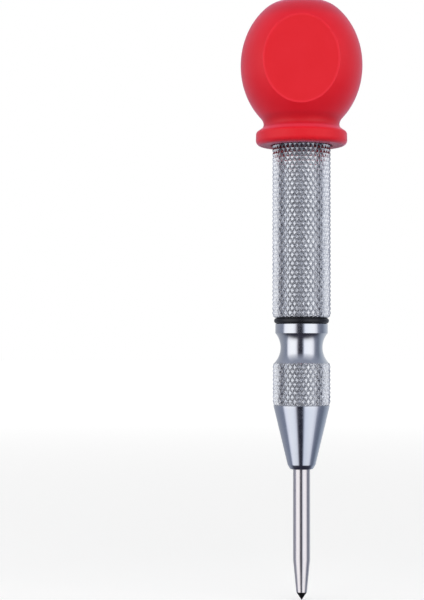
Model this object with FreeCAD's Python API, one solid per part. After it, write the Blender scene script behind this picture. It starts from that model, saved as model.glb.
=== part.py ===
"""Automatic centre punch with a ball-shaped cushion cap, standing upright with its point down.

Pushing the cap drives the punch pin up into the nose. The trip pin above it lifts the hammer
against the main spring, until the cone in the body's ledge draws the trip pin upright and the
hammer drops over its tip and strikes. Screwing the cap in squeezes the main spring harder.

Millimetres. The origin is the punch's point, +Z runs up the tool's axis to the cap, and the
cap's two flats face -Y and +Y. Each function builds one piece in its place at rest.
"""
import FreeCAD, Part
import math
import os

V = FreeCAD.Vector
UP = V(0, 0, 1)
TOUCH = 1e-3

# punch pin, and how far it is pushed in before the hammer drops
point_half_angle = 34.0
point_base_radius = 1.35
taper_length = 8.1
shank_radius = 2.15
shank_below_nose = 22.9
head_radius = 3.6
head_thickness = 3.0
head_top_radius = 2.4
head_top_chamfer = 1.0
head_under_chamfer = 0.6
stroke = 9.0

# nose
nose_tip_radius = 2.9
nose_tip_chamfer_radius = 3.55
nose_tip_chamfer = 1.1
cone_top_radius = 7.15
cone_length = 15.0
head_seat_depth = 14.15
band_radius = 7.32
band_length = 10.8
band_chamfer = 0.3
groove_edge_radius = 6.6
groove_bottom_radius = 5.32
groove_length = 7.15
collar_radius = 6.65
collar_length = 2.4
collar_edge = 0.2
nose_thread_radius = 5.6
nose_thread_length = 5.7
nose_mouth_radius = 4.5

# rubber ring between the nose and the body
ring_cord_radius = 0.75
ring_bore_radius = 5.47
ring_corner = 0.35

# body tube
body_radius = 7.4
body_plain_radius = 7.15
body_in_sight = 43.7
body_in_cap = 16.0
body_edge = 0.3
grip_below_flange = 0.2
body_bore_radius = 5.2
ledge_thickness = 6.0
ledge_bore_radius = 2.75
guide_cone_radius = 3.7
guide_cone_depth = 2.5
cap_thread_radius = 5.5
cap_thread_depth = 17.0

# trip pin
foot_radius = 3.4
foot_length = 11.85
foot_dome_radius = 6.0
foot_chamfer = 0.3
stem_radius = 2.6
stem_shoulder = 1.2
stem_below_ledge_top = 1.5
tip_radius = 1.3
tip_chamfer = 0.2
tip_offset = 1.15

# return spring
return_spring_length = 17.8
return_spring_bottom_radius = 3.3
return_spring_top_radius = 4.2
return_spring_wire = 0.6
return_spring_turns = 5

# hammer
hammer_length = 11.0
hammer_bore_depth = 7.0
hammer_chamfer = 0.4
spigot_radius = 3.1
spigot_length = 4.0
spigot_chamfer = 0.5

# main spring
main_spring_wire = 1.2
main_spring_turns = 6

# adjusting screw
screw_length = 14.0
screw_chamfer = 0.5
screw_head_flats = 12.0
screw_head_height = 5.5

# cushion cap, and how far it can be screwed in; its heights count from the flange's underside
cap_travel_in = 4.0
socket_end_gap = 1.0
mouth_chamfer = 0.3
flange_radius = 11.65
flange_bottom_round = 1.4
flange_wall_height = 3.4
flange_draft = 0.09
flange_height = 4.4
shelf_radius = 10.08
neck_radius = 9.64
neck_height = 5.45
ball_start_height = 7.1
ball_centre_height = 20.5
ball_radius = 15.5
ball_half_height = 18.0
cap_height = 37.0
crown_round = 8.5
flat_distance = 12.2
flat_edge_round = 0.35

# clearances
running_clearance = 0.05
thread_clearance = 0.05
hammer_clearance = 0.08
head_clearance = 0.1
socket_clearance = 0.4
ring_clearance = 0.025
bore_over_tip = 0.3
tip_under_hammer = 0.2
spring_end_clearance = 0.05
foot_tilt_clearance = 0.15
foot_rise_room = 1.85

# heights of the faces that the pieces share, from the point upwards
point_length = point_base_radius / math.tan(math.radians(point_half_angle))
shank_bottom = point_length + taper_length
nose_bottom = shank_bottom + shank_below_nose
head_seat = nose_bottom + head_seat_depth
head_top = head_seat + head_thickness
cone_top = nose_bottom + nose_tip_chamfer + cone_length
band_top = cone_top + band_length
groove_bottom = band_top + band_chamfer
groove_top = groove_bottom + groove_length
collar_top = groove_top + collar_length
body_bottom = collar_top + 2 * (ring_cord_radius + ring_clearance)
nose_top = body_bottom + nose_thread_length
foot_top = head_top + foot_length
return_spring_bottom = foot_top + foot_tilt_clearance
ledge_bottom = return_spring_bottom + return_spring_length + spring_end_clearance
ledge_top = ledge_bottom + ledge_thickness
hammer_seat = ledge_top + hammer_length
flange_bottom = body_bottom + body_in_sight
body_top = flange_bottom + body_in_cap
socket_top = body_top + cap_travel_in + socket_end_gap
screw_bottom = socket_top - screw_length
cap_top = flange_bottom + cap_height

# what the trip pin tilts about, and how far it leans at rest
trip_pivot = head_top + foot_dome_radius
trip_top = ledge_top - tip_under_hammer
trip_tilt = math.degrees(math.asin(tip_offset / (trip_top - trip_pivot)))


def at(radius, height):
    """A point of an outline: its distance from the axis and its height."""
    return V(radius, 0, height)


def straight(*points):
    """The edges that join the points in turn."""
    return [Part.makeLine(a, b) for a, b in zip(points, points[1:])]


def arc(start, middle, end):
    """One round edge through three points."""
    return [Part.Arc(start, middle, end).toShape()]


def bend(*points):
    """One smooth edge through the points in turn."""
    curve = Part.BSplineCurve()
    curve.interpolate(list(points))
    return [curve.toShape()]


def quarter(start, centre, end):
    """The quarter turn from start to end about their centre."""
    reach = (start - centre).Length
    halfway = (start - centre) + (end - centre)
    return arc(start, centre + halfway.normalize() * reach, end)


def turned(edges):
    """The solid that a closed outline beside the axis sweeps in a full turn."""
    return Part.Face(Part.Wire(edges)).revolve(V(0, 0, 0), UP, 360)


def rod(radius, bottom, top):
    """A cylinder on the axis between two heights."""
    return Part.makeCylinder(radius, top - bottom, at(0, bottom), UP)


def cone(bottom_radius, top_radius, bottom, top):
    """A cone on the axis between two heights."""
    return Part.makeCone(bottom_radius, top_radius, top - bottom, at(0, bottom), UP)


def lies_level(edge, height):
    """Whether the whole edge lies at a height."""
    box = edge.BoundBox
    return abs(box.ZMin - height) < TOUCH and abs(box.ZMax - height) < TOUCH


def level_edges(shape, height):
    """The shape's edges that lie level at a height."""
    return [edge for edge in shape.Edges if lies_level(edge, height)]


def coil_spring(bottom_radius, top_radius, wire, turns, bottom, top):
    """A coiled spring of square wire, whose two ends are ground flat."""
    lead = wire / 2
    rise = top - bottom
    slope = math.degrees(math.atan((top_radius - bottom_radius) / rise))
    helix = Part.makeHelix(rise / turns, rise + 2 * lead, bottom_radius, slope)
    helix.translate(V(0, 0, bottom - lead))
    half = wire / 2
    corners = [(-half, -half), (half, -half), (half, half), (-half, half), (-half, -half)]
    section = [at(bottom_radius + x, bottom - lead + z) for x, z in corners]
    coil = Part.Wire(helix).makePipeShell([Part.makePolygon(section)], True, True)
    return coil.common(rod(top_radius + bottom_radius, bottom, top))


def punch_pin():
    """The pin that marks the work: ground point, taper, straight shank and flat head."""
    outline = straight(
        at(0, 0),
        at(point_base_radius, point_length),
        at(shank_radius, shank_bottom),
        at(shank_radius, head_seat),
        at(head_radius - head_under_chamfer, head_seat),
        at(head_radius, head_seat + head_under_chamfer),
        at(head_radius, head_top - head_top_chamfer),
        at(head_top_radius, head_top),
        at(0, head_top),
        at(0, 0),
    )
    return turned(outline)


def nose():
    """The screwed nose: cone, grip band, concave groove, collar, ring seat and thread."""
    seat_radius = ring_bore_radius - ring_clearance
    deepest = (groove_bottom + groove_top) / 2
    bore_top = head_top + stroke + foot_rise_room
    head_bore = head_radius + head_clearance
    pin_bore = shank_radius + running_clearance
    outline = straight(
        at(pin_bore, nose_bottom),
        at(nose_tip_radius, nose_bottom),
        at(nose_tip_chamfer_radius, nose_bottom + nose_tip_chamfer),
        at(cone_top_radius, cone_top),
        at(band_radius, cone_top),
        at(band_radius, band_top),
        at(groove_edge_radius, groove_bottom),
    )
    outline += arc(
        at(groove_edge_radius, groove_bottom),
        at(groove_bottom_radius, deepest),
        at(groove_edge_radius, groove_top),
    )
    outline += straight(
        at(groove_edge_radius, groove_top),
        at(collar_radius, groove_top),
        at(collar_radius, collar_top - collar_edge),
        at(collar_radius - collar_edge, collar_top),
        at(seat_radius, collar_top),
        at(seat_radius, body_bottom),
        at(nose_thread_radius, body_bottom),
        at(nose_thread_radius, nose_top),
        at(nose_mouth_radius, nose_top),
        at(head_bore, bore_top),
        at(head_bore, head_seat),
        at(pin_bore, head_seat),
        at(pin_bore, nose_bottom),
    )
    return turned(outline)


def o_ring():
    """The rubber ring, squeezed flat between the nose's collar and the end of the body."""
    middle = (collar_top + body_bottom) / 2
    outer = ring_bore_radius + 2 * ring_cord_radius
    bulge = ring_bore_radius + ring_cord_radius
    top = middle + ring_cord_radius
    bottom = middle - ring_cord_radius
    outline = straight(
        at(bulge, bottom),
        at(ring_bore_radius + ring_corner, bottom),
        at(ring_bore_radius, bottom + ring_corner),
        at(ring_bore_radius, top - ring_corner),
        at(ring_bore_radius + ring_corner, top),
        at(bulge, top),
    )
    outline += arc(at(bulge, top), at(outer, middle), at(bulge, bottom))
    return turned(outline)


def body_tube():
    """The tube: knurled grip, plain end inside the cap, two threads and the ledge between them."""
    socket_radius = nose_thread_radius + thread_clearance
    grip_top = flange_bottom - grip_below_flange
    outline = straight(
        at(socket_radius, body_bottom),
        at(body_radius - body_edge, body_bottom),
        at(body_radius, body_bottom + body_edge),
        at(body_radius, grip_top - body_edge),
        at(body_plain_radius, grip_top),
        at(body_plain_radius, body_top - body_edge),
        at(body_plain_radius - body_edge, body_top),
        at(cap_thread_radius, body_top),
        at(cap_thread_radius, body_top - cap_thread_depth),
        at(body_bore_radius, body_top - cap_thread_depth),
        at(body_bore_radius, ledge_top),
        at(ledge_bore_radius, ledge_top),
        at(ledge_bore_radius, ledge_bottom + guide_cone_depth),
        at(guide_cone_radius, ledge_bottom),
        at(socket_radius, ledge_bottom),
        at(socket_radius, body_bottom),
    )
    return turned(outline)


def trip_pin():
    """The pin that lifts the hammer: domed foot, stem, guided shoulder and leaning tip."""
    dome_rise = foot_dome_radius - math.sqrt(foot_dome_radius**2 - foot_radius**2)
    halfway = foot_radius / 2
    halfway_rise = foot_dome_radius - math.sqrt(foot_dome_radius**2 - halfway**2)
    shoulder_top = ledge_top - stem_below_ledge_top - stroke
    outline = arc(
        at(0, head_top),
        at(halfway, head_top + halfway_rise),
        at(foot_radius, head_top + dome_rise),
    )
    outline += straight(
        at(foot_radius, head_top + dome_rise),
        at(foot_radius, foot_top - foot_chamfer),
        at(foot_radius - foot_chamfer, foot_top),
        at(stem_radius, foot_top),
        at(stem_radius, shoulder_top - stem_shoulder),
        at(tip_radius, shoulder_top),
        at(tip_radius, trip_top - tip_chamfer),
        at(tip_radius - tip_chamfer, trip_top),
        at(0, trip_top),
        at(0, head_top),
    )
    pin = turned(outline)
    pin.rotate(at(0, trip_pivot), V(0, 1, 0), trip_tilt)
    return pin


def return_spring():
    """The conical spring that pushes the trip pin and the punch pin back out."""
    top = ledge_bottom - spring_end_clearance
    return coil_spring(
        return_spring_bottom_radius,
        return_spring_top_radius,
        return_spring_wire,
        return_spring_turns,
        return_spring_bottom,
        top,
    )


def hammer():
    """The striker: a plunger with the trip pin's bore below and a spring spigot above."""
    radius = body_bore_radius - hammer_clearance
    spigot_top = hammer_seat + spigot_length
    bore_radius = tip_radius + bore_over_tip
    bore_end = ledge_top + hammer_bore_depth
    outline = straight(
        at(bore_radius, ledge_top),
        at(radius - hammer_chamfer, ledge_top),
        at(radius, ledge_top + hammer_chamfer),
        at(radius, hammer_seat - hammer_chamfer),
        at(radius - hammer_chamfer, hammer_seat),
        at(spigot_radius, hammer_seat),
        at(spigot_radius, spigot_top - spigot_chamfer),
        at(spigot_radius - spigot_chamfer, spigot_top),
        at(0, spigot_top),
        at(0, bore_end),
        at(bore_radius, bore_end),
        at(bore_radius, ledge_top),
    )
    return turned(outline)


def main_spring():
    """The heavy spring between the hammer and the adjusting screw."""
    radius = (spigot_radius + body_bore_radius) / 2
    bottom = hammer_seat + spring_end_clearance
    top = screw_bottom - spring_end_clearance
    return coil_spring(radius, radius, main_spring_wire, main_spring_turns, bottom, top)


def screw_head():
    """The hexagon that holds the screw in the moulded cap."""
    corner_radius = screw_head_flats / 2 / math.cos(math.pi / 6)
    corners = [at(corner_radius, socket_top)]
    for turn in range(6):
        angle = math.radians(60 * (turn + 1))
        corner = V(corner_radius * math.cos(angle), corner_radius * math.sin(angle), socket_top)
        corners.append(corner)
    return Part.Face(Part.makePolygon(corners)).extrude(UP * screw_head_height)


def adjusting_screw():
    """The screw that carries the cap and sets how hard the main spring is squeezed."""
    thread = rod(cap_thread_radius - thread_clearance, screw_bottom, socket_top)
    thread = thread.makeChamfer(screw_chamfer, level_edges(thread, screw_bottom))
    spigot = rod(spigot_radius, screw_bottom - spigot_length, screw_bottom)
    spigot = spigot.makeChamfer(spigot_chamfer, level_edges(spigot, screw_bottom - spigot_length))
    return thread.fuse([spigot, screw_head()]).removeSplitter()


def cushion_cap():
    """The moulded cap for the palm: socket, flange, neck and a ball with two flats."""
    ball_bottom = flange_bottom + ball_start_height
    cap = cap_ball(ball_bottom).fuse(cap_base(ball_bottom))
    for side in (-1, 1):
        slab = Part.makeBox(4 * ball_radius, ball_radius, cap_height)
        near_face = side * (flat_distance + ball_radius / 2) - ball_radius / 2
        slab.translate(V(-2 * ball_radius, near_face, flange_bottom))
        cap = cap.cut(slab)
    rims = [edge for edge in cap.Edges if lies_on_a_flat(edge)]
    cap = cap.makeFillet(flat_edge_round, rims)
    socket = rod(body_radius + socket_clearance, flange_bottom, socket_top)
    mouth = cone(
        body_radius + socket_clearance + mouth_chamfer,
        body_radius + socket_clearance,
        flange_bottom,
        flange_bottom + mouth_chamfer,
    )
    return cap.cut([socket, mouth, screw_head()])


def cap_ball(bottom):
    """The ball: a sphere stretched along the axis, with its crown flattened and rounded."""
    stretch = FreeCAD.Matrix()
    stretch.A33 = ball_half_height / ball_radius
    ball = Part.makeSphere(ball_radius).transformGeometry(stretch)
    ball.translate(at(0, flange_bottom + ball_centre_height))
    ball = ball.common(rod(2 * ball_radius, bottom, cap_top))
    return ball.makeFillet(crown_round, level_edges(ball, cap_top))


def cap_base(top):
    """The flange and the neck that runs up into the ball."""
    shelf = at(shelf_radius, flange_bottom + flange_height)
    joint = at(ball_width(top), top)
    round_start = at(flange_radius - flange_bottom_round, flange_bottom)
    round_end = at(flange_radius, flange_bottom + flange_bottom_round)
    outline = straight(at(0, top), at(0, flange_bottom), round_start)
    outline += quarter(round_start, at(round_start.x, round_end.z), round_end)
    outline += straight(
        round_end,
        at(flange_radius - flange_draft, flange_bottom + flange_wall_height),
        shelf,
    )
    outline += bend(shelf, at(neck_radius, flange_bottom + neck_height), joint)
    outline += straight(joint, at(0, top))
    return turned(outline)


def ball_width(height):
    """The ball's radius at a height."""
    share = (height - flange_bottom - ball_centre_height) / ball_half_height
    return ball_radius * math.sqrt(1 - share**2)


def lies_on_a_flat(edge):
    """Whether the edge lies in the plane of one of the cap's two flats."""
    box = edge.BoundBox
    return box.YLength < TOUCH and abs(abs(box.Center.y) - flat_distance) < TOUCH


pieces = {
    "punch_pin": punch_pin,
    "nose": nose,
    "o_ring": o_ring,
    "body_tube": body_tube,
    "trip_pin": trip_pin,
    "return_spring": return_spring,
    "hammer": hammer,
    "main_spring": main_spring,
    "adjusting_screw": adjusting_screw,
    "cushion_cap": cushion_cap,
}

os.makedirs("parts", exist_ok=True)
for name, build in pieces.items():
    piece = build()
    piece.exportStep(f"parts/{name}.step")
    print(f"{name}: {len(piece.Solids)} solid, {piece.Volume:.1f} mm3")
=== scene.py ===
"""Automatic centre punch: knurled steel body, bright nose, ground punch pin and red cushion cap.

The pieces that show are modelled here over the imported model's frame, in its place and at its
size. Outlines are in millimetres: distance from the tool's axis, then height above the point.
"""
import math

import bmesh
import bpy
from mathutils import Matrix, Vector


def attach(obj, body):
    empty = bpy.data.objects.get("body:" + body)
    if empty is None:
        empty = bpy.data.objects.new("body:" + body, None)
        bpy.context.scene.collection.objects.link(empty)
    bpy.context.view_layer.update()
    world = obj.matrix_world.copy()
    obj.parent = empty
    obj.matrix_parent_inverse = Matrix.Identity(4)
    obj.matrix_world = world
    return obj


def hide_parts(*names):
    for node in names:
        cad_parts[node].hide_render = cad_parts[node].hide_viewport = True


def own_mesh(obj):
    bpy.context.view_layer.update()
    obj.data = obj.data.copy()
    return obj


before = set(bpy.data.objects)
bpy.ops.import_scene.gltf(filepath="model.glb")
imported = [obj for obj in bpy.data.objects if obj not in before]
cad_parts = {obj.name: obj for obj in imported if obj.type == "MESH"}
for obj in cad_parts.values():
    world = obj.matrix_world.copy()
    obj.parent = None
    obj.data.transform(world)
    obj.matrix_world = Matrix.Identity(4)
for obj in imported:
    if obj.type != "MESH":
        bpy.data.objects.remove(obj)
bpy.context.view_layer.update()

MM = 0.001
AXIS = Vector((0.0, 0.0, 1.0))
TURN = 2 * math.pi
CREASE = math.radians(32)
# points closer than this many millimetres are one point
TOUCHING = 0.002

# how finely round pieces are turned; the knurl has one diamond to every two steps
KNURL_STEPS = 72
ROUND_STEPS = 96
CAP_STEPS = 160
SPRING_STEPS = 32

# how far the knurl's grooves go in, and how wide the slopes of its diamonds and of the half
# diamonds at its ends are; then each knurl's bottom, top and number of half diamonds
KNURL_DEPTH = 0.48
KNURL_FLANK = 0.46
KNURL_END_FLANK = 0.29
BODY_CREST = 7.4
BODY_KNURL = (71.4, 116.1, 40)
BAND_CREST = 7.32
BAND_KNURL = (49.1, 59.9, 10)
BAND_EDGE = 6.9

GROOVE_BOTTOM = 60.2
GROOVE_HEIGHT = 7.15
GROOVE_MIDDLE = 63.775
GROOVE_CURVE = 5.63
GROOVE_WAIST = 5.32
GROOVE_STEPS = 24

THREAD_PITCH = 1.0
THREAD_TOP = 5.6
THREAD_ROOT = 5.05
THREAD_BORE = 4.45
THREAD_SPAN = (71.35, 77.0)

RING_RADIUS = 6.22
RING_HEIGHT = 70.525
RING_CORD_RADIUS = 0.75

# each spring's radius at its bottom and its top, wire, turns, bottom and top
RETURN_SPRING = (3.4, 4.2, 0.6, 5, 62.15, 79.95)
MAIN_SPRING = (4.15, 4.15, 1.2, 6, 97.05, 121.95)

POINT_RADIUS = 1.35
POINT_HEIGHT = 2.0
TAPER_HEIGHT = 8.1
TAPER_GROWTH = 0.8
GRINDING_RINGS = 7
GRINDING_START = 2.25
GRINDING_SPACING = 0.38

BALL_CENTRE = 135.5
BALL_RADIUS = 15.5
BALL_HALF_HEIGHT = 18.0
BALL_SPAN = (122.1, 149.9)
BALL_STEPS = 48
CROWN_CENTRE = (3.7, 143.5)
CROWN_RADIUS = 8.5
CROWN_START = 49
CROWN_STEPS = 12
CAP_TOP = 152.0
FLAT_DISTANCE = 12.2
# the rim round each flat: widths and how far each goes in
FLAT_RIM = ((0.18, 0.035), (0.24, 0.025), (0.28, 0.010))
FLAT_FACE = FLAT_DISTANCE - sum(depth for _, depth in FLAT_RIM)

# the values that most of a noise lies between
NOISE_RANGE = (0.3, 0.7)
# the heights between which a finish changes: the grip's shade by the cap, the nose's bright part
# above its cone, the grinding on the pin's taper, and the shades in the cap's neck and on its crown
SHADED_BY_CAP = (110.5, 115.0)
CONE_TOP = (48.0, 50.0)
GRINDING_FADE = (3.0, 6.5)
NECK_BOTTOM = (119.2, 119.7)
NECK_TOP = (121.4, 123.2)
NECK_SHADE = 0.74
CROWN_EDGE = (146.4, 148.6)
CROWN_SHADE = 0.87

# what the bright metal reflects round the tool: azimuth in degrees from the side that the front
# flat faces, then the wall's colour there
WALL_DISTANCE = 0.75
WALL_MIDDLE = 0.066
WALL_REACH = 1.6
WALL_STRENGTH = 1.1
WALL_AROUND = (
    (-180.0, (0.60, 0.62, 0.66)),
    (-160.0, (0.42, 0.44, 0.49)),
    (-140.0, (0.31, 0.33, 0.38)),
    (-120.0, (0.26, 0.28, 0.34)),
    (-100.0, (0.21, 0.235, 0.305)),
    (-88.0, (0.20, 0.225, 0.295)),
    (-78.0, (0.86, 0.88, 0.97)),
    (-60.0, (0.94, 0.96, 1.00)),
    (-38.0, (0.92, 0.95, 1.00)),
    (-28.0, (0.78, 0.79, 0.86)),
    (-22.0, (0.30, 0.30, 0.34)),
    (-17.0, (0.04, 0.04, 0.055)),
    (0.0, (0.015, 0.017, 0.028)),
    (5.0, (0.04, 0.045, 0.065)),
    (12.0, (0.40, 0.44, 0.54)),
    (16.5, (0.84, 0.88, 0.98)),
    (40.0, (0.90, 0.94, 1.00)),
    (57.0, (0.90, 0.92, 0.98)),
    (69.0, (0.71, 0.73, 0.81)),
    (78.0, (0.24, 0.26, 0.33)),
    (90.0, (0.15, 0.17, 0.23)),
    (106.0, (0.145, 0.17, 0.225)),
    (120.0, (0.26, 0.30, 0.37)),
    (140.0, (0.40, 0.44, 0.51)),
    (160.0, (0.52, 0.55, 0.60)),
    (180.0, (0.60, 0.62, 0.66)),
)
# how far the wall goes over to the dark floor below and the grey ceiling above, by elevation
WALL_UPWARD = (
    (-60, 1.0),
    (-53, 0.94),
    (-49, 0.84),
    (-45, 0.62),
    (-41, 0.38),
    (-36, 0.18),
    (-31, 0.06),
    (-24, 0.0),
    (26, 0.0),
    (31, 0.14),
    (36, 0.40),
    (42, 0.56),
    (48, 0.72),
    (54, 0.84),
    (61, 0.95),
)
CEILING_TINT = (0.25, 0.275, 0.35)
FLOOR_TINT = (0.03, 0.03, 0.045)
CARD_RADIUS = 0.8

# the soft lights: name, azimuth, radiance
SOFTBOXES = (("left_softbox", -52.0, 1.72), ("right_softbox", 42.0, 1.84))
SOFTBOX_DISTANCE = 0.60
SOFTBOX_HEIGHT = 0.02
SOFTBOX_WIDTH = 0.80
SOFTBOX_TALL = 0.85
SOFTBOX_TINT = (0.98, 0.99, 1.0)

# the even light from all round, and the share of it that is left overhead
FILL_LEVEL = 1.12
FILL_OVERHEAD = 0.1

# how light the floor looks, and how light it is to everything but the eye
FLOOR_RADIUS = 6.0
FLOOR_PALE = (0.8, 0.8, 0.8, 1.0)
FLOOR_DULL = (0.3, 0.3, 0.3, 1.0)
# the floor's own glow near the tool and far from it: distance, strength
FLOOR_GLOW = ((0.1, 0.42), (1.2, 0.70))

LENS = 99.15
EYE_DISTANCE = 0.42
EYE_HEIGHT = 0.0645
EYE_TURN = (91.54, -0.07, 3.10)


# ---------------------------------------------------------------- shapes


def spun(outline, steps, closed=False):
    """A mesh turned about the tool's axis from an outline of (radius, height) points."""
    bm = bmesh.new()
    corners = [bm.verts.new((radius * MM, 0.0, height * MM)) for radius, height in outline]
    pairs = list(zip(corners, corners[1:]))
    if closed:
        pairs.append((corners[-1], corners[0]))
    for pair in pairs:
        bm.edges.new(pair)
    return turned(bm, steps)


def turned(bm, steps):
    """Turns the outline held in a mesh a full turn about the tool's axis."""
    bmesh.ops.spin(
        bm,
        geom=bm.verts[:] + bm.edges[:],
        cent=(0.0, 0.0, 0.0),
        axis=AXIS,
        angle=TURN,
        steps=steps,
        use_merge=True,
    )
    bmesh.ops.remove_doubles(bm, verts=bm.verts[:], dist=TOUCHING * MM)
    bmesh.ops.recalc_face_normals(bm, faces=bm.faces[:])
    return bm


def radius_of(vert):
    """A vertex's distance from the tool's axis, in millimetres."""
    return vert.co.xy.length / MM


def height_of(vert):
    """A vertex's height above the point, in millimetres."""
    return vert.co.z / MM


def ring(bm, radius, height):
    """The edges of the circle at a radius and a height."""
    on = {
        v
        for v in bm.verts
        if abs(radius_of(v) - radius) < 0.02 and abs(height_of(v) - height) < 0.004
    }
    return [edge for edge in bm.edges if edge.verts[0] in on and edge.verts[1] in on]


def soften(bm, rings, width, segments=3):
    """Rounds off the circles named by their radius and height."""
    for radius, height in rings:
        bmesh.ops.bevel(
            bm,
            geom=ring(bm, radius, height),
            offset=width * MM,
            segments=segments,
            profile=0.5,
            affect="EDGES",
            material=-1,
            clamp_overlap=True,
        )


def rows(bottom, top, count):
    """Evenly spaced heights from bottom to top."""
    return [bottom + (top - bottom) * row / count for row in range(count + 1)]


def knurl(bm, root, bottom, top, count):
    """Raises a diamond knurl on the rows of faces that lie on the root radius."""
    step = (top - bottom) / count
    band = [
        v
        for v in bm.verts
        if abs(radius_of(v) - root) < 0.01 and bottom - 0.01 < height_of(v) < top + 0.01
    ]

    def place(vert):
        column = round(math.atan2(vert.co.y, vert.co.x) / TURN * KNURL_STEPS)
        return column, round((height_of(vert) - bottom) / step)

    crossings = [v for v in band if sum(place(v)) % 2]
    crests = [v for v in band if not sum(place(v)) % 2]
    bmesh.ops.connect_verts(bm, verts=crossings)
    middle = [v for v in crests if 0 < place(v)[1] < count]
    at_ends = {v for v in crests if not 0 < place(v)[1] < count}
    halves = [
        edge
        for vert in at_ends
        for edge in vert.link_edges
        if abs(edge.verts[0].co.z - edge.verts[1].co.z) > 0.5 * step * MM
        and bottom - 0.01 < min(height_of(v) for v in edge.verts)
        and max(height_of(v) for v in edge.verts) < top + 0.01
    ]
    bmesh.ops.dissolve_verts(bm, verts=middle)
    bmesh.ops.dissolve_edges(bm, edges=halves, use_verts=False)
    lattice = {v for v in band if v.is_valid}
    cells = [face for face in bm.faces if all(v in lattice for v in face.verts)]
    split = [face for face in cells if any(v in at_ends for v in face.verts)]
    whole = [face for face in cells if face not in set(split)]
    for faces, flank in ((whole, KNURL_FLANK), (split, KNURL_END_FLANK)):
        bmesh.ops.inset_individual(
            bm,
            faces=faces,
            thickness=flank * MM,
            depth=KNURL_DEPTH * flank / KNURL_FLANK * MM,
            use_even_offset=True,
        )


def show(name, bm, body, node, *finishes):
    """Makes the mesh a piece that rides on a body and stands for a CAD node."""
    for face in bm.faces:
        face.smooth = True
    mesh = bpy.data.meshes.new(name)
    bm.to_mesh(mesh)
    bm.free()
    mesh.set_sharp_from_angle(angle=CREASE)
    for finish in finishes:
        mesh.materials.append(finish)
    piece = bpy.data.objects.new(name, mesh)
    bpy.context.scene.collection.objects.link(piece)
    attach(piece, body)
    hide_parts(node)
    return piece


# ---------------------------------------------------------------- finishes


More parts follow.
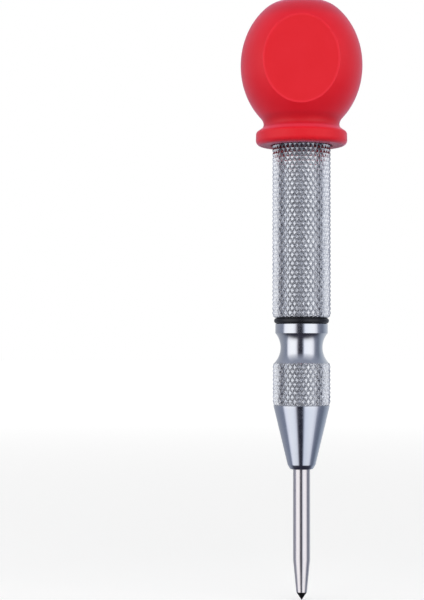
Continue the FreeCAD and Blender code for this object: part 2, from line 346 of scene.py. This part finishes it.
class Finish:
    """A material with its shader, and short ways to add nodes to it."""

    def __init__(self, name, metallic, roughness, specular=0.5):
        self.material = bpy.data.materials.new(name)
        self.material.use_nodes = True
        self.nodes = self.material.node_tree.nodes
        self.links = self.material.node_tree.links
        self.shader = self.nodes["Principled BSDF"]
        self.shader.inputs["Metallic"].default_value = metallic
        self.shader.inputs["Roughness"].default_value = roughness
        self.shader.inputs["Specular IOR Level"].default_value = specular
        self.place = self.nodes.new("ShaderNodeTexCoord").outputs["Object"]

    def join(self, source, target):
        self.links.new(source, target)

    def stretched(self, scale):
        """The place on the piece, stretched along the three axes."""
        mapping = self.nodes.new("ShaderNodeMapping")
        mapping.inputs["Scale"].default_value = scale
        self.join(self.place, mapping.inputs["Vector"])
        return mapping.outputs["Vector"]

    def noise(self, size, detail=3.0, stretch=None):
        """Noise whose grains are about this many millimetres across."""
        texture = self.nodes.new("ShaderNodeTexNoise")
        texture.inputs["Scale"].default_value = 1 / (size * MM)
        texture.inputs["Detail"].default_value = detail
        self.join(self.stretched(stretch) if stretch else self.place, texture.inputs["Vector"])
        return texture.outputs["Fac"]

    def radius(self):
        """The distance from the tool's axis."""
        flat = self.nodes.new("ShaderNodeVectorMath")
        flat.operation = "MULTIPLY"
        flat.inputs[1].default_value = (1.0, 1.0, 0.0)
        self.join(self.place, flat.inputs[0])
        length = self.nodes.new("ShaderNodeVectorMath")
        length.operation = "LENGTH"
        self.join(flat.outputs["Vector"], length.inputs[0])
        return length.outputs["Value"]

    def height(self):
        """The height above the point."""
        split = self.nodes.new("ShaderNodeSeparateXYZ")
        self.join(self.place, split.inputs["Vector"])
        return split.outputs["Z"]

    def sides(self):
        """How far a place stands off the middle plane between the cap's two flats."""
        split = self.nodes.new("ShaderNodeSeparateXYZ")
        self.join(self.place, split.inputs["Vector"])
        away = self.nodes.new("ShaderNodeMath")
        away.operation = "ABSOLUTE"
        self.join(split.outputs["Y"], away.inputs[0])
        return away.outputs["Value"]

    def spread(self, value, low, high, to_low=0.0, to_high=1.0, smooth=False):
        """A value carried from one range to another."""
        ramp = self.nodes.new("ShaderNodeMapRange")
        ramp.interpolation_type = "SMOOTHSTEP" if smooth else "LINEAR"
        ramp.inputs["From Min"].default_value = low
        ramp.inputs["From Max"].default_value = high
        ramp.inputs["To Min"].default_value = to_low
        ramp.inputs["To Max"].default_value = to_high
        self.join(value, ramp.inputs["Value"])
        return ramp.outputs["Result"]

    def varied(self, noise, low, high):
        """A noise carried from its usual values to a range."""
        return self.spread(noise, *NOISE_RANGE, low, high)

    def climb(self, heights, low, high, smooth=False):
        """A value that runs from one to another between two heights in millimetres."""
        bottom, top = heights
        return self.spread(self.height(), bottom * MM, top * MM, low, high, smooth)

    def sum(self, first, second, operation="ADD"):
        """Two values added, or joined in another way."""
        maths = self.nodes.new("ShaderNodeMath")
        maths.operation = operation
        self.join(first, maths.inputs[0])
        self.join(second, maths.inputs[1])
        return maths.outputs["Value"]

    def colours(self, value, low, high):
        """One colour running into another, which the surface takes."""
        mix = self.nodes.new("ShaderNodeMix")
        mix.data_type = "RGBA"
        self.join(value, mix.inputs["Factor"])
        for socket in mix.inputs:
            if socket.type == "RGBA":
                socket.default_value = (*(low if socket.name == "A" else high), 1.0)
        result = next(socket for socket in mix.outputs if socket.type == "RGBA")
        self.join(result, self.shader.inputs["Base Color"])

    def shade(self, value):
        """Paints shade into the surface's colour by scaling it by a value."""
        target = self.shader.inputs["Base Color"]
        scale = self.nodes.new("ShaderNodeVectorMath")
        scale.operation = "SCALE"
        self.join(target.links[0].from_socket, scale.inputs["Vector"])
        self.join(value, scale.inputs["Scale"])
        self.join(scale.outputs["Vector"], target)

    def rough(self, value):
        self.join(value, self.shader.inputs["Roughness"])

    def bump(self, value, depth, strength=1.0):
        """Raises the surface by this many millimetres where the value is 1."""
        bump = self.nodes.new("ShaderNodeBump")
        bump.inputs["Distance"].default_value = depth * MM
        bump.inputs["Strength"].default_value = strength
        self.join(value, bump.inputs["Height"])
        self.join(bump.outputs["Normal"], self.shader.inputs["Normal"])


def knurled_nickel(name, crest):
    """Satin nickel plate on the knurl, with painted shade in its grooves and on the grip by the
    cap.
    """
    finish = Finish(name, 1.0, 0.36)
    low, high = (crest - KNURL_DEPTH) * MM, (crest - 0.05) * MM
    depth = finish.spread(finish.radius(), low, high, smooth=True)
    # painted shade: the knurl's colour is darker towards the bottoms of its grooves, with a little
    # random tone
    groove_shade_and_tone = finish.spread(depth, 0.0, 1.0, 0.70, 0.95)
    groove_shade_and_tone = finish.sum(groove_shade_and_tone, finish.varied(finish.noise(2.5), -0.05, 0.05))
    # painted shade on the grip just under the cap, where the flange shades it
    shaded = finish.climb(SHADED_BY_CAP, 1.0, 0.3, smooth=True)
    finish.colours(finish.sum(groove_shade_and_tone, shaded, "MULTIPLY"), (0.20, 0.20, 0.24), (1.0, 1.0, 1.0))
    wear = finish.varied(finish.noise(0.4), -0.04, 0.04)
    finish.rough(finish.sum(finish.spread(depth, 0.0, 1.0, 0.30, 0.20), wear))
    dents = finish.varied(finish.noise(0.5, 1.0), 0.0, 5.0)
    finish.bump(finish.sum(finish.noise(0.12), dents), 0.006)
    return finish.material


def turned_nickel(name):
    """Bright nickel plate over the fine rings that the lathe leaves."""
    finish = Finish(name, 1.0, 0.16)
    rings = finish.noise(0.16, 4.0, (0.02, 0.02, 1.0))
    above_cone = finish.climb(CONE_TOP, 0.0, 0.8)
    finish.colours(
        finish.sum(above_cone, finish.varied(finish.noise(6.0), 0.0, 0.2)),
        (0.69, 0.715, 0.78),
        (0.87, 0.87, 0.88),
    )
    wear = finish.varied(finish.noise(1.5), -0.02, 0.03)
    finish.rough(finish.sum(finish.varied(rings, 0.11, 0.17), wear))
    finish.bump(rings, 0.0012, 0.5)
    return finish.material


def ground_steel(name):
    """Ground tool steel, a little warm, with grinding rings that are coarser on the taper."""
    finish = Finish(name, 1.0, 0.2)
    rings = finish.noise(0.10, 4.0, (0.03, 0.03, 1.0))
    coarse = finish.noise(0.35, 2.0, (0.02, 0.02, 1.0))
    taper = finish.climb(GRINDING_FADE, 1.0, 0.0, smooth=True)
    finish.colours(finish.noise(4.0), (0.83, 0.775, 0.76), (0.88, 0.82, 0.80))
    finish.rough(finish.varied(rings, 0.17, 0.25))
    finish.bump(finish.sum(rings, finish.sum(coarse, taper, "MULTIPLY")), 0.0022, 0.6)
    return finish.material


def hardened_point(name):
    """The blackened, hardened point, worn a little brighter at its very end."""
    finish = Finish(name, 0.35, 0.42, 0.35)
    height = finish.height()
    unevenness = finish.varied(finish.noise(0.25), -0.15 * MM, 0.15 * MM)
    wear = finish.spread(finish.sum(height, unevenness), 0.0, 0.35 * MM, smooth=True)
    finish.colours(wear, (0.045, 0.043, 0.042), (0.012, 0.012, 0.013))
    finish.rough(finish.varied(finish.noise(0.3), 0.36, 0.48))
    finish.bump(finish.noise(0.08, 3.0, (0.1, 0.1, 1.0)), 0.003, 0.5)
    return finish.material


def nitrile_rubber(name):
    """Black nitrile rubber with a faint bloom."""
    finish = Finish(name, 0.0, 0.4, 0.5)
    finish.colours(finish.noise(1.2), (0.004, 0.004, 0.006), (0.009, 0.009, 0.012))
    finish.rough(finish.varied(finish.noise(0.5), 0.32, 0.44))
    finish.bump(finish.noise(0.15), 0.006, 0.5)
    return finish.material


def red_plastic(name):
    """Moulded red plastic with a fine satin grain, a painted highlight along the rims of its flats,
    and painted shade in the neck and on the crown.
    """
    finish = Finish(name, 0.0, 0.45, 0.25)
    finish.shader.inputs["Sheen Weight"].default_value = 0.42
    finish.shader.inputs["Sheen Roughness"].default_value = 0.45
    finish.shader.inputs["Sheen Tint"].default_value = (1.0, 0.62, 1.0, 1.0)
    # painted highlight: a lighter, pinker line along the rim of each flat
    rim = finish.spread(finish.sides(), (FLAT_FACE + 0.004) * MM, (FLAT_FACE + 0.02) * MM)
    mottle = finish.varied(finish.noise(5.0), 0.0, 0.25)
    finish.colours(finish.sum(mottle, rim), (0.76, 0.003, 0.012), (0.82, 0.014, 0.030))
    # painted shade in the neck, between the flange and the ball
    neck = finish.sum(
        finish.climb(NECK_BOTTOM, 1.0, NECK_SHADE),
        finish.climb(NECK_TOP, NECK_SHADE, 1.0, smooth=True),
        "MAXIMUM",
    )
    finish.shade(neck)
    # painted shade on the crown, darker towards the top
    finish.shade(finish.climb(CROWN_EDGE, 1.0, CROWN_SHADE, smooth=True))
    satin = finish.varied(finish.noise(0.5), 0.38, 0.48)
    finish.rough(finish.sum(satin, finish.varied(finish.noise(9.0), -0.03, 0.03)))
    finish.bump(finish.noise(0.22, 4.0), 0.006, 0.45)
    return finish.material


def inner_steel(name, dark, light, roughness):
    """Oiled steel of the pieces inside, with the marks of turning or drawing."""
    finish = Finish(name, 1.0, roughness)
    finish.colours(finish.noise(2.0), dark, light)
    rings = finish.noise(0.2, 4.0, (0.05, 0.05, 1.0))
    finish.rough(finish.varied(rings, roughness - 0.06, roughness + 0.06))
    finish.bump(rings, 0.002, 0.5)
    return finish.material


# ---------------------------------------------------------------- pieces


def body_piece():
    """The grip: knurled outside, plain where the cap runs over it, bored and threaded inside."""
    bottom, top, count = BODY_KNURL
    root = BODY_CREST - KNURL_DEPTH
    outline = [(5.65, 71.3), (root - 0.12, 71.3)]
    outline += [(root, height) for height in rows(bottom, top, count)]
    outline += [
        (7.15, 116.3),
        (7.15, 130.7),
        (6.85, 131.0),
        (5.5, 131.0),
        (5.5, 114.0),
        (5.2, 114.0),
        (5.2, 86.0),
        (2.75, 86.0),
        (2.75, 82.5),
        (3.7, 80.0),
        (5.65, 80.0),
    ]
    bm = spun(outline, KNURL_STEPS, closed=True)
    knurl(bm, root, bottom, top, count)
    return bm


def nose_piece():
    """The nose: bore, chamfered cone, knurled band, concave groove and collar."""
    bottom, top, count = BAND_KNURL
    root = BAND_CREST - KNURL_DEPTH
    outline = [(2.2, 33.0), (2.9, 33.0), (3.55, 34.1), (7.15, 49.05), (7.12, 49.1)]
    outline += [(root, height) for height in rows(bottom, top, count)]
    outline.append((6.6, GROOVE_BOTTOM))
    for step in range(1, GROOVE_STEPS):
        height = GROOVE_BOTTOM + GROOVE_HEIGHT * step / GROOVE_STEPS
        rise = GROOVE_CURVE - math.sqrt(GROOVE_CURVE**2 - (height - GROOVE_MIDDLE) ** 2)
        outline.append((GROOVE_WAIST + rise, height))
    outline += [
        (6.6, 67.35),
        (6.65, 67.35),
        (6.65, 69.75),
        (5.45, 69.75),
        (5.45, 71.35),
        (4.45, 71.35),
        (3.7, 61.0),
        (3.7, 47.15),
        (2.2, 47.15),
    ]
    bm = spun(outline, KNURL_STEPS, closed=True)
    knurl(bm, root, bottom, top, count)
    soften(bm, [(2.9, 33.0), (3.55, 34.1), (6.65, 69.75)], 0.12)
    return bm


def nose_thread():
    """The screw thread that holds the nose in the body, as a threaded sleeve."""
    low, high = THREAD_SPAN
    first = low - THREAD_PITCH
    count = math.ceil((high - low) / THREAD_PITCH) + 1
    bm = bmesh.new()
    outline = []
    for turn in range(count):
        foot = first + turn * THREAD_PITCH
        outline += [
            (THREAD_ROOT, foot),
            (THREAD_ROOT, foot + 0.12),
            (THREAD_TOP, foot + 0.44),
            (THREAD_TOP, foot + 0.56),
            (THREAD_ROOT, foot + 0.88),
        ]
    outline.append((THREAD_ROOT, first + count * THREAD_PITCH))
    corners = [bm.verts.new((radius * MM, 0.0, height * MM)) for radius, height in outline]
    for pair in zip(corners, corners[1:]):
        bm.edges.new(pair)
    bmesh.ops.spin(
        bm,
        geom=bm.verts[:] + bm.edges[:],
        cent=(0.0, 0.0, 0.0),
        axis=AXIS,
        dvec=AXIS * (THREAD_PITCH * MM / KNURL_STEPS),
        angle=TURN,
        steps=KNURL_STEPS,
        use_merge=False,
    )
    bmesh.ops.remove_doubles(bm, verts=bm.verts[:], dist=TOUCHING * MM)
    ends = []
    for height, side in ((low, -1.0), (high, 1.0)):
        cut = bmesh.ops.bisect_plane(
            bm,
            geom=bm.verts[:] + bm.edges[:] + bm.faces[:],
            plane_co=AXIS * (height * MM),
            plane_no=AXIS * side,
            clear_outer=True,
        )
        rim = [item for item in cut["geom_cut"] if isinstance(item, bmesh.types.BMEdge)]
        grown = bmesh.ops.extrude_edge_only(bm, edges=rim)["geom"]
        for item in grown:
            if isinstance(item, bmesh.types.BMVert):
                item.co.xy = item.co.xy.normalized() * THREAD_BORE * MM
        edges = [item for item in grown if isinstance(item, bmesh.types.BMEdge)]
        ends += [edge for edge in edges if edge.is_boundary]
    bmesh.ops.bridge_loops(bm, edges=ends)
    bmesh.ops.recalc_face_normals(bm, faces=bm.faces[:])
    return bm


def ring_piece():
    """The rubber ring: a round cord turned about the axis."""
    bm = bmesh.new()
    place = Matrix.Translation((RING_RADIUS * MM, 0.0, RING_HEIGHT * MM))
    upright = Matrix.Rotation(math.pi / 2, 4, "X")
    bmesh.ops.create_circle(
        bm, segments=28, radius=RING_CORD_RADIUS * MM, matrix=place @ upright
    )
    return turned(bm, ROUND_STEPS)


def spring_piece(bottom_radius, top_radius, wire, turns, bottom, top):
    """A coiled spring of square wire, whose two ends are ground flat."""
    half = wire / 2
    turns *= (top - bottom + wire) / (top - bottom)
    steps = round(SPRING_STEPS * turns)
    bm = bmesh.new()
    section = ((-half, -wire), (half, -wire), (half, 0.0), (-half, 0.0))
    corners = [bm.verts.new(((bottom_radius + x) * MM, 0.0, (bottom + z) * MM)) for x, z in section]
    for pair in zip(corners, corners[1:] + corners[:1]):
        bm.edges.new(pair)
    bmesh.ops.spin(
        bm,
        geom=bm.verts[:] + bm.edges[:],
        cent=(0.0, 0.0, 0.0),
        axis=AXIS,
        dvec=AXIS * ((top - bottom + wire) * MM / steps),
        angle=TURN * turns,
        steps=steps,
        use_merge=False,
    )
    for vert in bm.verts:
        way = (height_of(vert) - bottom) / (top - bottom)
        vert.co.xy += vert.co.xy.normalized() * (top_radius - bottom_radius) * way * MM
    for height, side in ((bottom, -1.0), (top, 1.0)):
        bmesh.ops.bisect_plane(
            bm,
            geom=bm.verts[:] + bm.edges[:] + bm.faces[:],
            plane_co=AXIS * (height * MM),
            plane_no=AXIS * side,
            clear_outer=True,
        )
    bmesh.ops.holes_fill(bm, edges=[edge for edge in bm.edges if edge.is_boundary], sides=0)
    bmesh.ops.recalc_face_normals(bm, faces=bm.faces[:])
    return bm


def pin_piece():
    """The punch pin: point, taper with its last grinding rings, shank and head."""
    outline = [(0.0, 0.0), (POINT_RADIUS, POINT_HEIGHT)]
    for step in range(GRINDING_RINGS):
        height = GRINDING_START + GRINDING_SPACING * step
        radius = POINT_RADIUS + TAPER_GROWTH * (height - POINT_HEIGHT) / TAPER_HEIGHT
        outline += [(radius - 0.012, height - 0.08), (radius + 0.012, height + 0.08)]
    outline += [
        (1.85, 7.06),
        (2.15, 10.1),
        (2.15, 47.15),
        (3.0, 47.15),
        (3.6, 47.75),
        (3.6, 49.15),
        (2.4, 50.15),
        (0.0, 50.15),
    ]
    bm = spun(outline, ROUND_STEPS)
    soften(bm, [(POINT_RADIUS, POINT_HEIGHT)], 0.04, 2)
    soften(bm, [(2.15, 10.1)], 0.5, 4)
    for face in bm.faces:
        if max(height_of(v) for v in face.verts) < POINT_HEIGHT + 0.03:
            face.material_index = 1
    return bm


def cap_piece():
    """The moulded cap: socket, rounded flange, neck, and the ball with its two flats."""
    socket = [(0.0, 136.0), (7.8, 136.0), (7.8, 115.3), (8.1, 115.0)]
    flange = [(11.65, 115.0), (11.56, 118.4), (10.08, 119.4)]
    neck = [
        (9.8, 119.78),
        (9.67, 120.15),
        (9.64, 120.45),
        (9.67, 120.8),
        (9.8, 121.2),
        (10.03, 121.65),
    ]
    outline = socket + flange + neck
    low, high = (math.asin((end - BALL_CENTRE) / BALL_HALF_HEIGHT) for end in BALL_SPAN)
    for step in range(BALL_STEPS + 1):
        angle = low + (high - low) * step / BALL_STEPS
        height = BALL_CENTRE + BALL_HALF_HEIGHT * math.sin(angle)
        outline.append((BALL_RADIUS * math.cos(angle), height))
    out, up = CROWN_CENTRE
    for step in range(1, CROWN_STEPS + 1):
        angle = math.radians(CROWN_START + (90 - CROWN_START) * step / CROWN_STEPS)
        outline.append((out + CROWN_RADIUS * math.cos(angle), up + CROWN_RADIUS * math.sin(angle)))
    outline.append((0.0, CAP_TOP))
    bm = spun(outline, CAP_STEPS)
    soften(bm, [(11.65, 115.0)], 1.4, 8)
    soften(bm, [(11.56, 118.4)], 0.45, 4)
    soften(bm, [(10.08, 119.4)], 0.25, 3)
    soften(bm, [(8.1, 115.0)], 0.1, 3)
    for side in (-1.0, 1.0):
        cut = bmesh.ops.bisect_plane(
            bm,
            geom=bm.verts[:] + bm.edges[:] + bm.faces[:],
            plane_co=(0.0, side * FLAT_DISTANCE * MM, 0.0),
            plane_no=(0.0, side, 0.0),
            clear_outer=True,
        )
        rim = [item for item in cut["geom_cut"] if isinstance(item, bmesh.types.BMVert)]
        bmesh.ops.remove_doubles(bm, verts=rim, dist=0.08 * MM)
        edge_loop = [edge for edge in bm.edges if edge.is_boundary]
        flat = bmesh.ops.edgeloop_fill(bm, edges=edge_loop)["faces"]
        for width, depth in FLAT_RIM:
            bmesh.ops.inset_region(
                bm,
                faces=flat,
                thickness=width * MM,
                depth=-depth * MM,
                use_even_offset=True,
            )
    bmesh.ops.recalc_face_normals(bm, faces=bm.faces[:])
    return bm


# ---------------------------------------------------------------- studio


def stage_finish(name, tint):
    """A plain glowing surface for a card."""
    material = bpy.data.materials.new(name)
    material.use_nodes = True
    nodes = material.node_tree.nodes
    nodes.clear()
    glow = nodes.new("ShaderNodeEmission")
    glow.inputs["Color"].default_value = (*tint, 1.0)
    glow.inputs["Strength"].default_value = 1.0
    out = nodes.new("ShaderNodeOutputMaterial")
    material.node_tree.links.new(glow.outputs["Emission"], out.inputs["Surface"])
    return material


def studio_wall():
    """The studio as the bright metal reflects it: soft boxes, a dark gap between, grey walls."""
    bm = bmesh.new()
    foot = bm.verts.new((0.0, -WALL_DISTANCE, -WALL_REACH))
    head = bm.verts.new((0.0, -WALL_DISTANCE, WALL_REACH))
    bm.edges.new((foot, head))
    turned(bm, 96)
    material = stage_finish("studio_wall", (1.0, 1.0, 1.0))
    nodes = material.node_tree.nodes
    links = material.node_tree.links
    split = nodes.new("ShaderNodeSeparateXYZ")
    links.new(nodes.new("ShaderNodeTexCoord").outputs["Object"], split.inputs["Vector"])
    front = nodes.new("ShaderNodeMath")
    front.operation = "MULTIPLY"
    front.inputs[1].default_value = -1.0
    links.new(split.outputs["Y"], front.inputs[0])
    azimuth = nodes.new("ShaderNodeMath")
    azimuth.operation = "ARCTAN2"
    links.new(split.outputs["X"], azimuth.inputs[0])
    links.new(front.outputs["Value"], azimuth.inputs[1])
    around_wall = [((azimuth + 180) / 360, tint) for azimuth, tint in WALL_AROUND]
    tint = colour_run(nodes, links, azimuth.outputs["Value"], -math.pi, math.pi, around_wall)
    rise = [(wall_place(elevation), (part, part, part)) for elevation, part in WALL_UPWARD]
    part = colour_run(nodes, links, split.outputs["Z"], -WALL_REACH, WALL_REACH, rise)
    ends = [(0.0, FLOOR_TINT), (0.45, FLOOR_TINT), (0.55, CEILING_TINT), (1.0, CEILING_TINT)]
    far = colour_run(nodes, links, split.outputs["Z"], -WALL_REACH, WALL_REACH, ends)
    mix = nodes.new("ShaderNodeMixRGB")
    links.new(part, mix.inputs["Fac"])
    links.new(tint, mix.inputs["Color1"])
    links.new(far, mix.inputs["Color2"])
    links.new(mix.outputs["Color"], nodes["Emission"].inputs["Color"])
    nodes["Emission"].inputs["Strength"].default_value = WALL_STRENGTH
    reflected("studio_wall", bm, material)


def wall_place(elevation):
    """The part of the way up the wall at which the tool sees this elevation in degrees."""
    height = WALL_MIDDLE + WALL_DISTANCE * math.tan(math.radians(elevation))
    return (height + WALL_REACH) / (2 * WALL_REACH)


def colour_run(nodes, links, value, low, high, stops):
    """Colours run along a value between two ends; each stop is a part of the way and a colour."""
    way = nodes.new("ShaderNodeMapRange")
    way.inputs["From Min"].default_value = low
    way.inputs["From Max"].default_value = high
    links.new(value, way.inputs["Value"])
    run = nodes.new("ShaderNodeValToRGB")
    elements = run.color_ramp.elements
    while len(elements) > 1:
        elements.remove(elements[-1])
    for index, (place, colour) in enumerate(stops):
        element = elements[0] if index == 0 else elements.new(place)
        element.position = place
        element.color = (*colour, 1.0)
    links.new(way.outputs["Result"], run.inputs["Fac"])
    return run.outputs["Color"]


def level_card(name, height, tint):
    """A level round card above or below the tool, seen only in reflections."""
    bm = bmesh.new()
    place = Matrix.Translation((0.0, 0.0, height))
    bmesh.ops.create_circle(bm, cap_ends=True, segments=48, radius=CARD_RADIUS, matrix=place)
    reflected(name, bm, stage_finish(name, tint))


def reflected(name, bm, material):
    """Hangs a card where only glossy rays see it."""
    mesh = bpy.data.meshes.new(name)
    bm.to_mesh(mesh)
    bm.free()
    mesh.materials.append(material)
    hung = bpy.data.objects.new(name, mesh)
    bpy.context.scene.collection.objects.link(hung)
    hung.visible_camera = False
    hung.visible_diffuse = False
    hung.visible_shadow = False
    hung.visible_transmission = False


def softbox(name, azimuth, radiance):
    """A rectangular soft light that faces the tool's axis; azimuth 0 faces the front flat."""
    data = bpy.data.lights.new(name, "AREA")
    data.shape = "RECTANGLE"
    data.size = SOFTBOX_WIDTH
    data.size_y = SOFTBOX_TALL
    data.energy = radiance * math.pi * SOFTBOX_WIDTH * SOFTBOX_TALL
    data.color = SOFTBOX_TINT
    lamp = bpy.data.objects.new(name, data)
    bpy.context.scene.collection.objects.link(lamp)
    angle = math.radians(azimuth)
    away = Vector((math.sin(angle), -math.cos(angle), 0.0)) * SOFTBOX_DISTANCE
    lamp.location = away + AXIS * SOFTBOX_HEIGHT
    lamp.rotation_euler = (math.pi / 2, 0.0, angle)
    lamp.visible_glossy = False


def floor_piece():
    """A plain pale floor: white to the eye but for the tool's shadow, and duller to the rest."""
    bm = bmesh.new()
    bmesh.ops.create_circle(bm, cap_ends=True, segments=64, radius=FLOOR_RADIUS)
    mesh = bpy.data.meshes.new("floor")
    bm.to_mesh(mesh)
    bm.free()
    material = bpy.data.materials.new("pale_floor")
    material.use_nodes = True
    nodes = material.node_tree.nodes
    links = material.node_tree.links
    nodes.clear()
    dull = nodes.new("ShaderNodeBsdfDiffuse")
    dull.inputs["Color"].default_value = FLOOR_DULL
    pale = nodes.new("ShaderNodeBsdfDiffuse")
    pale.inputs["Color"].default_value = FLOOR_PALE
    away = nodes.new("ShaderNodeVectorMath")
    away.operation = "LENGTH"
    links.new(nodes.new("ShaderNodeTexCoord").outputs["Object"], away.inputs[0])
    rise = nodes.new("ShaderNodeMapRange")
    (near, near_glow), (far, far_glow) = FLOOR_GLOW
    rise.inputs["From Min"].default_value = near
    rise.inputs["From Max"].default_value = far
    rise.inputs["To Min"].default_value = near_glow
    rise.inputs["To Max"].default_value = far_glow
    links.new(away.outputs["Value"], rise.inputs["Value"])
    glow = nodes.new("ShaderNodeEmission")
    links.new(rise.outputs["Result"], glow.inputs["Strength"])
    both = nodes.new("ShaderNodeAddShader")
    links.new(pale.outputs["BSDF"], both.inputs[0])
    links.new(glow.outputs["Emission"], both.inputs[1])
    seen = nodes.new("ShaderNodeMixShader")
    links.new(nodes.new("ShaderNodeLightPath").outputs["Is Camera Ray"], seen.inputs["Fac"])
    links.new(dull.outputs["BSDF"], seen.inputs[1])
    links.new(both.outputs["Shader"], seen.inputs[2])
    out = nodes.new("ShaderNodeOutputMaterial")
    links.new(seen.outputs["Shader"], out.inputs["Surface"])
    mesh.materials.append(material)
    floor = bpy.data.objects.new("floor", mesh)
    bpy.context.scene.collection.objects.link(floor)
    floor.visible_glossy = False


def surroundings():
    """White to the eye and in reflections, a soft even light on everything else."""
    world = bpy.data.worlds.new("studio")
    bpy.context.scene.world = world
    world.use_nodes = True
    nodes = world.node_tree.nodes
    links = world.node_tree.links
    nodes.clear()
    fill = nodes.new("ShaderNodeBackground")
    fill.inputs["Color"].default_value = (1.0, 1.0, 1.0, 1.0)
    split = nodes.new("ShaderNodeSeparateXYZ")
    links.new(nodes.new("ShaderNodeTexCoord").outputs["Generated"], split.inputs["Vector"])
    fade = nodes.new("ShaderNodeMapRange")
    fade.inputs["From Min"].default_value = 0.0
    fade.inputs["From Max"].default_value = 1.0
    fade.inputs["To Min"].default_value = FILL_LEVEL
    fade.inputs["To Max"].default_value = FILL_OVERHEAD * FILL_LEVEL
    links.new(split.outputs["Z"], fade.inputs["Value"])
    links.new(fade.outputs["Result"], fill.inputs["Strength"])
    white = nodes.new("ShaderNodeBackground")
    white.inputs["Color"].default_value = (1.0, 1.0, 1.0, 1.0)
    white.inputs["Strength"].default_value = 1.0
    path = nodes.new("ShaderNodeLightPath")
    first = nodes.new("ShaderNodeMath")
    second = nodes.new("ShaderNodeMath")
    second.use_clamp = True
    mix = nodes.new("ShaderNodeMixShader")
    out = nodes.new("ShaderNodeOutputWorld")
    links.new(path.outputs["Is Camera Ray"], first.inputs[0])
    links.new(path.outputs["Is Glossy Ray"], first.inputs[1])
    links.new(first.outputs["Value"], second.inputs[0])
    links.new(path.outputs["Is Transmission Ray"], second.inputs[1])
    links.new(second.outputs["Value"], mix.inputs["Fac"])
    links.new(fill.outputs["Background"], mix.inputs[1])
    links.new(white.outputs["Background"], mix.inputs[2])
    links.new(mix.outputs["Shader"], out.inputs["Surface"])


def camera():
    """Low, and tipped up a little; turned so that the tool stands right of centre."""
    data = bpy.data.cameras.new("camera")
    data.lens = LENS
    data.sensor_width = 36.0
    data.clip_start = 0.01
    eye = bpy.data.objects.new("camera", data)
    bpy.context.scene.collection.objects.link(eye)
    eye.location = (0.0, -EYE_DISTANCE, EYE_HEIGHT)
    eye.rotation_euler = [math.radians(angle) for angle in EYE_TURN]
    bpy.context.scene.camera = eye


# ---------------------------------------------------------------- the scene

bpy.context.scene.view_settings.view_transform = "Standard"

knurled = knurled_nickel("knurled_nickel", BODY_CREST)
show("knurled_body", body_piece(), "barrel", "body_tube", knurled)
nickel = turned_nickel("bright_nickel")
nose = nose_piece()
for face in nose.faces:
    middle = face.calc_center_median()
    if BAND_KNURL[0] * MM < middle.z < BAND_KNURL[1] * MM and middle.xy.length > BAND_EDGE * MM:
        face.material_index = 1
show("bright_nose", nose, "nose", "nose", nickel, knurled_nickel("band_nickel", BAND_CREST))
show("nose_thread", nose_thread(), "nose", "nose", nickel)
show("rubber_ring", ring_piece(), "ring", "o_ring", nitrile_rubber("black_rubber"))
ground = ground_steel("ground_steel")
point = hardened_point("hardened_point")
show("ground_pin", pin_piece(), "punch", "punch_pin", ground, point)
show("red_cap", cap_piece(), "cap", "cushion_cap", red_plastic("red_plastic"))

turned_steel = inner_steel("oiled_turned_steel", (0.42, 0.42, 0.43), (0.52, 0.52, 0.53), 0.3)
spring_steel = inner_steel("oiled_spring_steel", (0.30, 0.30, 0.32), (0.40, 0.40, 0.42), 0.34)
for node in ("trip_pin", "hammer", "adjusting_screw"):
    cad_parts[node].data.materials.clear()
    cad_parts[node].data.materials.append(turned_steel)
return_spring = spring_piece(*RETURN_SPRING)
return_spring = show("return_spring_coil", return_spring, "barrel", "return_spring", spring_steel)
main_spring = spring_piece(*MAIN_SPRING)
main_spring = show("main_spring_coil", main_spring, "spring", "main_spring", spring_steel)
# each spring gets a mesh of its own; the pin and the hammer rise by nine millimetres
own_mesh(return_spring)
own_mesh(main_spring)

for name, azimuth, radiance in SOFTBOXES:
    softbox(name, azimuth, radiance)
studio_wall()
level_card("ceiling_card", WALL_REACH, CEILING_TINT)
level_card("floor_card", -WALL_REACH, FLOOR_TINT)
floor_piece()
surroundings()
camera()
